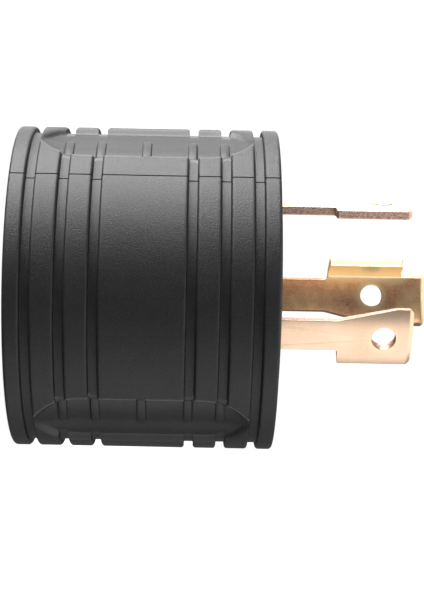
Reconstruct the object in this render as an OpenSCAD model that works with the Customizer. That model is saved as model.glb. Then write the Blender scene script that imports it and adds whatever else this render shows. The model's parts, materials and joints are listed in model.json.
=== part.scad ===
// Round one-piece power adapter: twist-lock plug with three curved blades on one
// end, travel-trailer socket on the other. The axis is Z and the socket end is z = 0.

/* [Body] */
// Outer radius of the round body
body_r = 26; // [25.5:0.5:36]
// Length of the body between its two rims
body_len = 41.5; // [40:0.5:60]
// Width of the smooth rim at each end
rim_w = 2.55; // [2.2:0.05:4]
// Width of each ring groove
groove_w = 1.45; // [0.8:0.05:1.8]
// Width of the four narrow bands
band_w = 3.62; // [3:0.02:4.4]
// Depth of each ring groove
groove_depth = 1.05; // [0.6:0.05:1.3]
// Chamfer along the edges of the bands and rims
band_chamfer = 0.35; // [0.1:0.05:0.45]
// Shell wall left under a groove
shell_wall = 2.35; // [2.1:0.05:2.8]
// Width of the fine seam where the two shells meet
seam_w = 0.16; // [0.08:0.02:0.3]
// Depth of that seam
seam_depth = 0.4; // [0.2:0.05:0.8]

/* [Grip scoops] */
// Angle that one scoop spans round the body
scoop_angle = 29.3; // [20:0.1:34]
// Depth of a scoop's floor at its deep side
scoop_deep = 1.5; // [1.2:0.05:1.8]
// Depth of a scoop's floor at its shallow side
scoop_shallow = 0.6; // [0.3:0.05:0.9]
// Length over which a scoop narrows at each end
scoop_taper = 5.6; // [3:0.1:7]
// Width of the short ribs in a scoop
rib_w = 1.2; // [0.6:0.05:1.3]

/* [Plug blades] */
// Outer radius of the circle that the blades stand on
blade_r = 14.5; // [13.8:0.1:15]
// Thickness of the blades
blade_t = 1.45; // [1.2:0.05:1.6]
// Length of the line blade outside the rim
line_len = 21.3; // [18:0.1:26]
// Length of the neutral blade outside the rim
neutral_len = 21.9; // [18:0.1:26]
// Length of the ground blade outside the rim
ground_len = 26.9; // [22:0.1:30]
// Height of the locking step above the rim
hook_height = 9.6; // [7:0.1:12]
// Radius of the hole through each blade
blade_hole_r = 1.9; // [1.2:0.1:2.2]
// Bevel round the tip of each blade
tip_bevel = 0.5; // [0.2:0.05:0.6]
// Width of the ground blade's bent tab
tab_w = 4.5; // [2:0.1:5]
// Length of that tab along the blade
tab_len = 12.5; // [8:0.1:15]

/* [Socket] */
// Length of each blade slot
slot_len = 14.2; // [12:0.1:15]
// Width of each blade slot
slot_w = 2.2; // [1.9:0.05:2.6]
// Distance between the centres of the two slots
slot_spacing = 22; // [20:0.1:23]
// Height of the slots' centres above the axis, on the socket face
slot_rise = 3.5; // [2:0.1:5]
// Tilt of each slot
slot_tilt = 30; // [25:1:35]
// Radius of the round ground hole in the face
ground_hole_r = 3.5; // [3.4:0.05:3.9]
// Inner radius of the ground contact sleeve
ground_bore_r = 3.25; // [3.2:0.01:3.35]
// Drop of the ground hole below the axis, on the socket face
ground_drop = 11.5; // [10.5:0.1:12.5]

/* [Inside] */
// Thickness of the socket face
socket_t = 6.2; // [5.5:0.1:8]
// Length of the contact carrier
carrier_len = 18; // [15:0.1:20]
// Thickness of the plug face under the rim
plug_t = 10; // [9:0.1:12]
// Height that the plug face stands proud of the rim
plug_proud = 0.45; // [0.2:0.05:0.8]
// Width of the ledge that traps each face in the shells
ledge_w = 0.9; // [0.7:0.05:1.2]
// Thickness of that ledge
ledge_t = 1.9; // [1.6:0.05:2.2]
// Thickness of a contact leaf
leaf_t = 0.8; // [0.6:0.05:1]
// Width of a contact leaf
leaf_w = 13; // [11:0.1:13.4]
// Gap between the two leaves of a contact
leaf_gap = 1.75; // [1.65:0.05:1.9]
// Thickness of a backing spring
spring_t = 0.6; // [0.4:0.05:0.7]
// Height of a backing spring
spring_h = 8; // [6:0.1:10]
// Thickness of the connecting straps
strap_t = 1.2; // [1:0.05:1.5]
// Radius of the shank of a long core screw
screw_r = 1.75; // [1.5:0.05:1.8]
// Radius of a core screw's head
screw_head_r = 3; // [2.6:0.05:3.1]
// Distance of the core screws from the axis
screw_at = 17.6; // [17.2:0.1:18]
// Outer radius of a screw insert
insert_r = 2.6; // [2.3:0.05:2.7]
// Radius of a rivet's shank
rivet_r = 1; // [0.8:0.05:1.05]

/* [Hidden] */
$fn = 96;
fit = 0.1;          // clearance between pieces that pass through each other
seat = 0.15;        // clearance between the core and the shells
past = 1;           // how far a cut runs past the face that it opens

groove_r = body_r - groove_depth;
cavity_r = groove_r - shell_wall;
core_r = cavity_r - seat;
face_r = core_r - ledge_w;
key_w = 3;          // rib inside each shell that stops the core from turning
key_in = 1.2;

// Where each rim and band starts and ends along the axis
first_band = rim_w + groove_w;
second_band = first_band + band_w + groove_w;
middle_band = second_band + band_w + groove_w;
bands = [
    [0, rim_w],
    [first_band, first_band + band_w],
    [second_band, second_band + band_w],
    [middle_band, body_len - middle_band],
    [body_len - second_band - band_w, body_len - second_band],
    [body_len - first_band - band_w, body_len - first_band],
    [body_len - rim_w, body_len]
];

// Scoops: where each one is round the body, and which way its deep side faces
scoop_places = [[155.4, 1], [-83.5, -1], [35.4, 1]];
scoop_half = body_r * sin(scoop_angle / 2);
scoop_end_half = 0.36 * scoop_half;
scoop_run = 0.4;    // a scoop runs this far into the groove at each end
scoop_from = first_band - scoop_run;
scoop_to = body_len - scoop_from;
// The floor is a cylinder set off to one side, so it slopes across the scoop
scoop_offset = (scoop_deep - scoop_shallow) / (2 * sin(scoop_angle / 2));
scoop_floor_r = body_r - (scoop_deep + scoop_shallow) / 2;
rib_drop = 0.05;    // the ribs stand this far below the groove floor
rib_places = [
    first_band + band_w + groove_w / 2,
    second_band + band_w + groove_w / 2,
    body_len / 2,
    body_len - second_band - band_w - groove_w / 2,
    body_len - first_band - band_w - groove_w / 2
];

// Blades: angles round the axis of each blade's two neck edges and two head edges
line_neck = [-120.5, -99.5];
line_head = [-128.5, -87.7];
neutral_neck = [122.5, 151.9];
neutral_head = [117, 157.1];
ground_neck = [26.5, 49.8];
ground_head = [17.5, 53.8];
// Angle of the hole through each blade's head
line_hole = -108.7;
neutral_hole = 136.9;
ground_hole = 38.3;
blade_in = blade_r - blade_t;
blade_mid = blade_r - blade_t / 2;
hook_z = body_len + hook_height;
hook_slope = 0.2;   // rise of the locking step from its inner to its outer corner
flare_len = 9;      // the head's other edge flares out over this length
tip_corner = 1;     // cut across the corners of each tip
foot_extra = 3;     // the foot is wider than the slot by this angle each side
foot_gap = 1.8;     // from the carrier to the foot
hole_back = 4.5;    // from a short blade's tip to its hole
ground_hole_back = 9.15;
tab_back = 4.25;    // from the ground blade's tip to the end of its tab
tab_lean = 56;      // how far the tab bends in from the blade's own curve

// Levels along the axis, from the socket face up
carrier_z = socket_t;
strap_z = carrier_z + carrier_len;
plug_z = body_len - plug_t;
foot_z = strap_z + foot_gap;

// Socket pattern, turned so that each contact lies near its own blade
socket_turn = 120;
contact_gap = 1;    // from the socket face's inside to the contacts' lips
contact_z = socket_t + contact_gap;
bridge_t = 1;       // the closed end of each contact
spring_up = 2;      // from the contacts' lips to the springs
spring_z = contact_z + spring_up;
spring_opening = 20; // half the angle left open in the ground spring
sleeve_r = ground_bore_r + leaf_t;
sleeve_slit_w = 0.8;
sleeve_whole = 5;   // length of the ground sleeve left unslit, with the gap before it
sleeve_slit_len = carrier_len - sleeve_whole;
pocket_len = leaf_w + 2 * (spring_t + 2 * fit);
pocket_w = leaf_gap + 2 * (leaf_t + spring_t + fit);
ground_pocket_r = sleeve_r + spring_t + fit;

// Straps
tab_r_in = blade_in - strap_t;
strap_r_in = 7;
line_strap = [-124, -66];
neutral_strap = [119, 174];
ground_strap = [12, 56];
rivet_head_r = 1.35 * rivet_r;
rivet_head_t = 0.7;
rivet_half_angle = 7.5;
// How far each contact's rivet is moved to stay clear of its strap's tab
line_rivet_shift = 0;
neutral_rivet_shift = 5;
ground_rivet_shift = 2;
rivet_z = (foot_z + plug_z) / 2;

// Long screws stand between the blades
screw_places = [87, 193.5, 324.5];
screw_head_z = 1;
screw_head_t = 2.2;
recess_w = 0.9;     // cross recess in each head
recess_len = 1.4 * screw_head_r;
recess_depth = 1.2;
insert_len = 6;
insert_sink = 2;    // depth of the inserts in the plug face
insert_z = plug_z + insert_sink;
screw_end = 0.5;    // the screws end this far past the inserts
screw_top = insert_z + insert_len + screw_end;
barrier_t = 1.8;
barrier_hub_r = 4;
boss_r = 3.1;

// Pegs that line the shells up
peg_r = 0.7;
peg_len = 3;
peg_in = 9;         // from each end to its peg
peg_places = [peg_in, body_len - peg_in];
peg_at = (cavity_r + groove_r) / 2;

// ---- helpers ----

// A wedge from the axis outwards between two angles, less than half a turn apart
module wedge(a_from, a_to, z_from, z_to) {
    reach = 2 * body_r;
    translate([0, 0, z_from])
        linear_extrude(z_to - z_from)
            polygon([
                [0, 0],
                [reach * cos(a_from), reach * sin(a_from)],
                [reach * cos(a_to), reach * sin(a_to)]
            ]);
}

// A plain disc or post
module post(r, z_from, z_to) {
    translate([0, 0, z_from])
        cylinder(r = r, h = z_to - z_from);
}

// An outline drawn on the tangent plane, pushed out along the radius at an angle
module radial_push(angle, r_from, r_to) {
    rotate([0, 0, angle])
        translate([r_from, 0, 0])
            rotate([90, 0, 90])
                linear_extrude(r_to - r_from)
                    children();
}

// A round rod along the radius at an angle and a height
module radial_rod(angle, z, r, r_from, r_to) {
    rotate([0, 0, angle])
        translate([r_from, 0, z])
            rotate([0, 90, 0])
                cylinder(r = r, h = r_to - r_from);
}

// ---- shells ----

// Half outline of the shell wall: banded outside, ledges inside
module shell_outline() {
    outside = [for (b = bands) each [
        [groove_r, b[0]],
        [body_r - band_chamfer, b[0]],
        [body_r, b[0] + band_chamfer],
        [body_r, b[1] - band_chamfer],
        [body_r - band_chamfer, b[1]],
        [groove_r, b[1]]
    ]];
    inside = [
        [face_r + seat, body_len],
        [face_r + seat, body_len - ledge_t],
        [cavity_r, body_len - ledge_t],
        [cavity_r, ledge_t],
        [face_r + seat, ledge_t],
        [face_r + seat, 0]
    ];
    // the first and the last point lie on the end faces, so they are left out
    trimmed = [for (i = [1 : len(outside) - 2]) outside[i]];
    polygon(concat(trimmed, inside));
}

// Outline of a scoop on the tangent plane, narrowing at both ends in a quarter ellipse
module scoop_outline() {
    steps = 8;
    narrowing = scoop_half - scoop_end_half;
    low_end = [for (i = [0 : steps]) [
        scoop_end_half + narrowing * sin(90 * i / steps),
        scoop_from + scoop_taper * (1 - cos(90 * i / steps))
    ]];
    high_end = [for (i = [steps : -1 : 0]) [
        scoop_end_half + narrowing * sin(90 * i / steps),
        scoop_to - scoop_taper * (1 - cos(90 * i / steps))
    ]];
    side = concat(low_end, high_end);
    other_side = [for (i = [len(side) - 1 : -1 : 0]) [-side[i][0], side[i][1]]];
    polygon(concat(side, other_side));
}

// What a scoop takes away: its outline, down to the sloping floor, but not the ribs
module scoop_cut(place) {
    deep_side = place[1];
    difference() {
        radial_push(place[0], cavity_r, body_r + past)
            scoop_outline();
        rotate([0, 0, place[0]])
            translate([0, -deep_side * scoop_offset, 0])
                post(scoop_floor_r, 0, body_len);
        intersection() {
            post(groove_r - rib_drop, 0, body_len);
            for (z = rib_places)
                radial_push(place[0], cavity_r - past, body_r)
                    translate([deep_side > 0 ? 0 : -scoop_half - past, z - rib_w / 2])
                        square([scoop_half + past, rib_w]);
        }
    }
}

// One half of the housing, with its key inside
module shell_half(a_from) {
    difference() {
        union() {
            rotate([0, 0, a_from])
                rotate_extrude(angle = 180)
                    shell_outline();
            rotate([0, 0, a_from + 90])
                translate([cavity_r - key_in, -key_w / 2, ledge_t])
                    cube([key_in + past, key_w, body_len - 2 * ledge_t]);
        }
        for (place = scoop_places)
            if (cos(place[0] - a_from - 90) > 0)
                scoop_cut(place);
        for (side = [-1, 1])
            translate([side * (body_r - groove_depth / 2), 0, body_len / 2])
                cube([2 * seam_depth + groove_depth, seam_w, body_len + 2 * past], center = true);
    }
}

module shell_pegs(r, length) {
    for (side = [-1, 1])
        for (z = peg_places)
            translate([side * peg_at, -past, z])
                rotate([-90, 0, 0])
                    cylinder(r = r, h = length + past);
}

module housing_front() {
    color([0.07, 0.07, 0.08])
        union() {
            shell_half(180);
            shell_pegs(peg_r, peg_len);
        }
}

module housing_rear() {
    color([0.09, 0.09, 0.10])
        difference() {
            shell_half(0);
            shell_pegs(peg_r + fit, peg_len + 2 * fit);
        }
}

// ---- core: what the shells close round ----

// Slots that let the core slide past the shells' keys
module key_slots() {
    for (side = [-1, 1])
        rotate([0, 0, 90 * side])
            translate([cavity_r - key_in - fit, -key_w / 2 - fit, -past])
                cube([key_in + past, key_w + 2 * fit, body_len + 2 * past]);
}

// Puts what it holds at each flat contact's place, with its slot along local Y
module at_flat_contact(side) {
    rotate([0, 0, socket_turn])
        translate([side * slot_spacing / 2, slot_rise, 0])
            rotate([0, 0, side * slot_tilt])
                children();
}

module at_ground_contact() {
    rotate([0, 0, socket_turn])
        translate([0, -ground_drop, 0])
            children();
}

// A box centred on X and Y between two heights
module bar(x, y, z_from, z_to) {
    translate([-x / 2, -y / 2, z_from])
        cube([x, y, z_to - z_from]);
}

module at_screws() {
    for (angle = screw_places)
        rotate([0, 0, angle])
            translate([screw_at, 0, 0])
                children();
}

module socket_face() {
    color([0.10, 0.10, 0.11])
        difference() {
            union() {
                post(face_r, 0, socket_t);
                post(core_r, ledge_t + fit, socket_t);
            }
            for (side = [-1, 1])
                at_flat_contact(side)
                    bar(slot_w, slot_len, -past, socket_t + past);
            at_ground_contact()
                post(ground_hole_r, -past, socket_t + past);
            at_screws() {
                post(screw_r + fit, -past, socket_t + past);
                post(screw_head_r + fit, -past, screw_head_z + screw_head_t);
            }
            key_slots();
        }
}

module contact_carrier() {
    color([0.16, 0.16, 0.17])
        difference() {
            post(core_r, carrier_z, strap_z);
            for (side = [-1, 1])
                at_flat_contact(side)
                    bar(pocket_w, pocket_len, carrier_z - past, strap_z + past);
            at_ground_contact()
                post(ground_pocket_r, carrier_z - past, strap_z + past);
            at_screws()
                post(screw_r + fit, carrier_z - past, strap_z + past);
            key_slots();
        }
}

// Three walls that keep the poles apart, with a spacer boss round each screw
module insulation_barrier() {
    color([0.75, 0.72, 0.65])
        difference() {
            union() {
                post(barrier_hub_r, strap_z, plug_z);
                for (angle = screw_places)
                    rotate([0, 0, angle])
                        translate([0, -barrier_t / 2, strap_z])
                            cube([screw_at, barrier_t, plug_z - strap_z]);
                at_screws()
                    post(boss_r, strap_z, plug_z);
            }
            at_screws()
                post(screw_r + fit, strap_z - past, plug_z + past);
        }
}

module plug_face() {
    color([0.10, 0.10, 0.11])
        difference() {
            union() {
                post(core_r, plug_z, body_len - ledge_t - fit);
                post(face_r, plug_z, body_len + plug_proud);
            }
            for (neck = [line_neck, neutral_neck, ground_neck])
                blade_slot(neck);
            at_screws()
                post(insert_r, plug_z - past, insert_z + insert_len);
            at_screws()
                post(screw_r + fit, plug_z, screw_top + fit);
            key_slots();
        }
}

// ---- blades ----

// The slot that one blade's neck passes through
module blade_slot(neck) {
    middle = (neck[0] + neck[1]) / 2;
    half = blade_mid * sin((neck[1] - neck[0]) / 2) + fit;
    intersection() {
        difference() {
            post(blade_r + fit, plug_z - past, body_len + plug_proud + past);
            post(blade_in - fit, plug_z - 2 * past, body_len + plug_proud + 2 * past);
        }
        radial_push(middle, blade_in - past, blade_r + past)
            translate([-half, plug_z - past])
                square([2 * half, plug_t + plug_proud + 2 * past]);
    }
}

// Outline of a blade on the tangent plane: foot, neck, head and tip. The locking step
// is at the larger angle, and the other edge of the head flares out slowly.
module blade_outline(neck, head, tip_z) {
    middle = (neck[0] + neck[1]) / 2;
    function across(angle) = blade_mid * sin(angle - middle);
    polygon([
        [across(neck[0] - foot_extra), foot_z],
        [across(neck[1] + foot_extra), foot_z],
        [across(neck[1] + foot_extra), plug_z - fit],
        [across(neck[1]), plug_z - fit],
        [across(neck[1]), hook_z],
        [across(head[1]), hook_z + hook_slope],
        [across(head[1]), tip_z - tip_corner],
        [across(head[1]) - tip_corner, tip_z],
        [across(head[0]) + tip_corner, tip_z],
        [across(head[0]), tip_z - tip_corner],
        [across(head[0]), hook_z + flare_len],
        [across(neck[0]), hook_z],
        [across(neck[0]), plug_z - fit],
        [across(neck[0] - foot_extra), plug_z - fit]
    ]);
}

// One curved blade with its hole and rivet holes
module blade(neck, head, length, hole_angle, hole_from_tip) {
    middle = (neck[0] + neck[1]) / 2;
    tip_z = body_len + length;
    difference() {
        intersection() {
            rotate_extrude()
                polygon([
                    [blade_in, foot_z], [blade_r, foot_z],
                    [blade_r, tip_z - tip_bevel], [blade_r - tip_bevel, tip_z],
                    [blade_in, tip_z]
                ]);
            radial_push(middle, blade_in / 2, blade_r + past)
                blade_outline(neck, head, tip_z);
        }
        radial_rod(hole_angle, tip_z - hole_from_tip, blade_hole_r,
                   blade_in - past, blade_r + past);
        rivet_rods(neck, rivet_r, blade_in - past, blade_r + past);
    }
}

module blade_line() {
    color([0.87, 0.66, 0.42])
        blade(line_neck, line_head, line_len, line_hole, hole_back);
}

module blade_neutral() {
    color([0.90, 0.72, 0.48])
        blade(neutral_neck, neutral_head, neutral_len, neutral_hole, hole_back);
}

// The ground blade is longer, and a tab along one edge of its head is bent inwards
module blade_ground() {
    tip_z = body_len + ground_len;
    color([0.78, 0.58, 0.30])
        union() {
            blade(ground_neck, ground_head, ground_len, ground_hole, ground_hole_back);
            rotate([0, 0, ground_head[1]])
                translate([blade_mid, 0, 0])
                    rotate([0, 0, tab_lean])
                        translate([-blade_t / 2, -blade_t / 2, tip_z - tab_back - tab_len])
                            cube([blade_t, tab_w, tab_len]);
        }
}

// ---- straps, contacts and springs ----

// Two rods along the radius, either side of a neck's middle
module rivet_rods(neck, r, r_from, r_to) {
    for (side = [-1, 1])
        radial_rod((neck[0] + neck[1]) / 2 + side * rivet_half_angle, rivet_z, r, r_from, r_to);
}

// A flat strap on the carrier with a tab that stands up behind the blade's foot
module strap(span, neck) {
    difference() {
        intersection() {
            rotate_extrude()
                polygon([
                    [strap_r_in, strap_z], [blade_in, strap_z],
                    [blade_in, plug_z - fit], [tab_r_in, plug_z - fit],
                    [tab_r_in, strap_z + strap_t], [strap_r_in, strap_z + strap_t]
                ]);
            union() {
                wedge(span[0], span[1], strap_z - past, strap_z + strap_t);
                wedge(neck[0] - foot_extra, neck[1] + foot_extra, strap_z - past, plug_z);
            }
        }
        rivet_rods(neck, rivet_r, tab_r_in - past, blade_in + past);
        children();
    }
}

module strap_hole(shift) {
    translate([0, shift, 0])
        post(rivet_r, strap_z - past, strap_z + strap_t + past);
}

module strap_line() {
    color([0.80, 0.50, 0.33])
        strap(line_strap, line_neck)
            at_flat_contact(-1)
                strap_hole(line_rivet_shift);
}

module strap_neutral() {
    color([0.80, 0.50, 0.33])
        strap(neutral_strap, neutral_neck)
            at_flat_contact(1)
                strap_hole(neutral_rivet_shift);
}

module strap_ground() {
    color([0.80, 0.50, 0.33])
        strap(ground_strap, ground_neck)
            at_ground_contact()
                strap_hole(ground_rivet_shift);
}

// Two leaves joined by a bridge at the top
module flat_contact(rivet_shift) {
    difference() {
        union() {
            bar(leaf_gap + 2 * leaf_t, leaf_w, strap_z - bridge_t, strap_z);
            for (side = [-1, 1])
                translate([side * (leaf_gap + leaf_t) / 2, 0, 0])
                    bar(leaf_t, leaf_w, contact_z, strap_z);
        }
        translate([0, rivet_shift, 0])
            post(rivet_r, contact_z, strap_z + past);
    }
}

module contact_line() {
    color([0.83, 0.55, 0.36])
        at_flat_contact(-1)
            flat_contact(line_rivet_shift);
}

module contact_neutral() {
    color([0.83, 0.55, 0.36])
        at_flat_contact(1)
            flat_contact(neutral_rivet_shift);
}

// A slit sleeve with a closed end
module contact_ground() {
    color([0.83, 0.55, 0.36])
        at_ground_contact()
            difference() {
                post(sleeve_r, contact_z, strap_z);
                post(ground_bore_r, contact_z - past, strap_z - bridge_t);
                translate([0, -sleeve_slit_w / 2, contact_z - past])
                    cube([sleeve_r + past, sleeve_slit_w, sleeve_slit_len]);
                translate([0, ground_rivet_shift, 0])
                    post(rivet_r, contact_z, strap_z + past);
            }
}

// A steel clip, open at one end, that presses the two leaves together
module flat_spring() {
    inner_w = leaf_gap + 2 * leaf_t;
    difference() {
        bar(inner_w + 2 * spring_t, leaf_w + 2 * spring_t, spring_z, spring_z + spring_h);
        bar(inner_w, leaf_w, spring_z - past, spring_z + spring_h + past);
        translate([0, leaf_w / 2, 0])
            bar(inner_w, 2 * (spring_t + past), spring_z - past, spring_z + spring_h + past);
    }
}

module spring_line() {
    color([0.70, 0.71, 0.73])
        at_flat_contact(-1)
            flat_spring();
}

module spring_neutral() {
    color([0.70, 0.71, 0.73])
        at_flat_contact(1)
            flat_spring();
}

// An open ring round the ground sleeve
module spring_ground() {
    color([0.70, 0.71, 0.73])
        at_ground_contact()
            difference() {
                post(sleeve_r + spring_t, spring_z, spring_z + spring_h);
                post(sleeve_r, spring_z - past, spring_z + spring_h + past);
                wedge(-spring_opening, spring_opening, spring_z - past, spring_z + spring_h + past);
            }
}

// ---- fasteners ----

// Six rivets: two through each blade's foot and its strap
module blade_rivets() {
    // a flat head on the inside of the curve stops where its rim meets the strap
    head_inner = sqrt(pow(tab_r_in, 2) - pow(rivet_head_r, 2));
    color([0.80, 0.66, 0.40])
        for (neck = [line_neck, neutral_neck, ground_neck]) {
            rivet_rods(neck, rivet_r, head_inner - rivet_head_t / 2, blade_r + rivet_head_t / 2);
            rivet_rods(neck, rivet_head_r, head_inner - rivet_head_t, head_inner);
            rivet_rods(neck, rivet_head_r, blade_r, blade_r + rivet_head_t);
        }
}

module contact_rivet(shift) {
    translate([0, shift, 0]) {
        post(rivet_r, strap_z - bridge_t, strap_z + strap_t + rivet_head_t);
        post(rivet_head_r, strap_z + strap_t, strap_z + strap_t + rivet_head_t);
    }
}

module contact_rivets() {
    color([0.80, 0.66, 0.40]) {
        at_flat_contact(-1)
            contact_rivet(line_rivet_shift);
        at_flat_contact(1)
            contact_rivet(neutral_rivet_shift);
        at_ground_contact()
            contact_rivet(ground_rivet_shift);
    }
}

module core_screws() {
    color([0.72, 0.73, 0.75])
        at_screws()
            difference() {
                union() {
                    post(screw_r, screw_head_z, screw_top);
                    post(screw_head_r, screw_head_z, screw_head_z + screw_head_t);
                }
                for (turn = [0, 90])
                    rotate([0, 0, turn])
                        bar(recess_w, recess_len, 0, screw_head_z + recess_depth);
            }
}

module screw_inserts() {
    color([0.80, 0.62, 0.32])
        at_screws()
            difference() {
                post(insert_r, insert_z, insert_z + insert_len);
                post(screw_r, insert_z - past, insert_z + insert_len + past);
            }
}

housing_front();
housing_rear();
socket_face();
contact_carrier();
insulation_barrier();
plug_face();
blade_line();
blade_neutral();
blade_ground();
strap_line();
strap_neutral();
strap_ground();
contact_line();
contact_neutral();
contact_ground();
spring_line();
spring_neutral();
spring_ground();
blade_rivets();
contact_rivets();
core_screws();
screw_inserts();
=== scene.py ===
import json
import math

import bmesh
import bpy
import numpy as np
from mathutils import Matrix, Vector


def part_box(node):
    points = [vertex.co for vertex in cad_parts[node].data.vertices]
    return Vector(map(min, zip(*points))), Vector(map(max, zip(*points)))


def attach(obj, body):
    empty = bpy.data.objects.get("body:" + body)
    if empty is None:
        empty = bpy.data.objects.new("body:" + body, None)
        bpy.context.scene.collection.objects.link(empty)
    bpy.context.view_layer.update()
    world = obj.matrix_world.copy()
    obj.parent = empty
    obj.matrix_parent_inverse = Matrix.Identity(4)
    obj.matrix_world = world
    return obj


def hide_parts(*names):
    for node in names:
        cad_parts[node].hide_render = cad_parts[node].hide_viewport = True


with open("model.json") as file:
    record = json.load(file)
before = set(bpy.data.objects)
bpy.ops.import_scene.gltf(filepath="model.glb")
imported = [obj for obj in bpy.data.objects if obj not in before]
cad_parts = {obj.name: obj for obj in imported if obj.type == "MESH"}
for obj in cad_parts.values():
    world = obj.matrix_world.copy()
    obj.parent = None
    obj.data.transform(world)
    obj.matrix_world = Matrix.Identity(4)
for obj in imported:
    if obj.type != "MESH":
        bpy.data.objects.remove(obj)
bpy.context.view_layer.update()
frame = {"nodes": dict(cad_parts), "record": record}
mm = 0.001
print("frame loaded:", len(frame["nodes"]), "nodes")

# the body's sizes, taken from the frame
shellLow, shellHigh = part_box("housing_front")
bodyRadius = (shellHigh.x - shellLow.x) / 2 / mm
bodyLength = (shellHigh.z - shellLow.z) / mm
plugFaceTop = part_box("plug_face")[1].z / mm


def smooth(t):
    # 0 below 0, 1 above 1, and an s-curve between: 3t^2 - 2t^3
    t = np.clip(t, 0, 1)
    return t * t * (3 - 2 * t)


def steps(start, stop, size):
    # evenly spaced values from start to stop, both included, about size apart
    count = max(2, int(math.ceil(abs(stop - start) / size)) + 1)
    return np.linspace(start, stop, count)


def wrapDegrees(angle):
    # any angle brought into -180..180
    return (np.asarray(angle) + 180) % 360 - 180


def gridFaces(rows, cols, closedRows, closedCols):
    # quads between neighbouring rows and columns of a grid stored row by row
    i = np.arange(rows if closedRows else rows - 1)[:, None]
    j = np.arange(cols if closedCols else cols - 1)[None, :]
    nextRow, nextCol = (i + 1) % rows, (j + 1) % cols
    quads = [i * cols + j, i * cols + nextCol, nextRow * cols + nextCol, nextRow * cols + j]
    return np.stack(np.broadcast_arrays(*quads), -1).reshape(-1, 4)


def meshVolume(points, faces):
    # six times the signed volume, summed over the fan triangles of each face
    total = 0.0
    for size in {len(face) for face in faces}:
        corners = points[np.array([face for face in faces if len(face) == size])]
        for k in range(1, size - 1):
            cross = np.cross(corners[:, k], corners[:, k + 1])
            total += np.einsum("ij,ij->", corners[:, 0], cross)
    return total


def makePiece(name, points, faces, smoothAngle=35, attributes=None):
    # a mesh object in metres from millimetre points; faces are turned if they point inwards
    faces = [list(map(int, face)) for face in faces]
    if meshVolume(points, faces) < 0:
        faces = [face[::-1] for face in faces]
    mesh = bpy.data.meshes.new(name)
    mesh.from_pydata((points * mm).tolist(), [], faces)
    for key, values in (attributes or {}).items():
        mesh.attributes.new(key, "FLOAT", "POINT").data.foreach_set("value", values.astype(np.float32))
    mesh.update()
    mesh.shade_smooth()
    mesh.set_sharp_from_angle(angle=math.radians(smoothAngle))
    piece = bpy.data.objects.new(name, mesh)
    bpy.context.scene.collection.objects.link(piece)
    return piece


def place(piece, nodes, material):
    # the piece rides on the one body, stands for its CAD nodes and gets its material
    piece.data.materials.clear()
    piece.data.materials.append(material)
    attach(piece, "root")
    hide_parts(*nodes)
    return piece


def polar(radius, degrees, height):
    # x, y, z from a radius, an angle and a height, all arrays of one shape
    angle = np.radians(degrees)
    return np.stack([radius * np.cos(angle), radius * np.sin(angle), height + 0 * radius], -1)


def newMaterial(name):
    # a material with its nodes, links and shader, and coordinates that stay with the object
    material = bpy.data.materials.new(name)
    material.use_nodes = True
    nodes, links = material.node_tree.nodes, material.node_tree.links
    shader = nodes["Principled BSDF"]
    coords = nodes.new("ShaderNodeTexCoord").outputs["Object"]
    return material, nodes, links, shader, coords


def noise(nodes, links, coords, grain, detail=2.0, stretch=(1, 1, 1)):
    # cloudy noise with features about `grain` millimetres across, stretched along an axis if asked
    mapping = nodes.new("ShaderNodeMapping")
    mapping.inputs["Scale"].default_value = stretch
    links.new(coords, mapping.inputs["Vector"])
    texture = nodes.new("ShaderNodeTexNoise")
    texture.inputs["Scale"].default_value = 1 / (grain * mm)
    texture.inputs["Detail"].default_value = detail
    links.new(mapping.outputs["Vector"], texture.inputs["Vector"])
    return texture.outputs["Fac"]


def mathNode(nodes, links, operation, a, b, c=None, clamp=False):
    # one arithmetic node on numbers or sockets; MULTIPLY_ADD gives a times b, plus c
    node = nodes.new("ShaderNodeMath")
    node.operation = operation
    node.use_clamp = clamp
    for socket, value in zip(node.inputs, [a, b, c]):
        if isinstance(value, (int, float)):
            socket.default_value = value
        elif value is not None:
            links.new(value, socket)
    return node.outputs[0]


def mixColour(nodes, links, factor, a, b):
    # colour a at factor 0, colour b at factor 1
    node = nodes.new("ShaderNodeMix")
    node.data_type = "RGBA"
    if isinstance(factor, (int, float)):
        node.inputs["Factor"].default_value = factor
    else:
        links.new(factor, node.inputs["Factor"])
    for socket, value in [(node.inputs[6], a), (node.inputs[7], b)]:
        if isinstance(value, (tuple, list)):
            socket.default_value = (*value, 1)
        else:
            links.new(value, socket)
    return node.outputs[2]


def meshMark(nodes, name):
    # a value from 0 to 1 that the mesh carries at each of its points
    node = nodes.new("ShaderNodeAttribute")
    node.attribute_name = name
    return node.outputs["Fac"]


def bump(nodes, links, height, depth, normal=None):
    # height 0..1 raised by `depth` millimetres
    node = nodes.new("ShaderNodeBump")
    node.inputs["Distance"].default_value = depth * mm
    links.new(height, node.inputs["Height"])
    if normal is not None:
        links.new(normal, node.inputs["Normal"])
    return node.outputs["Normal"]


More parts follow.
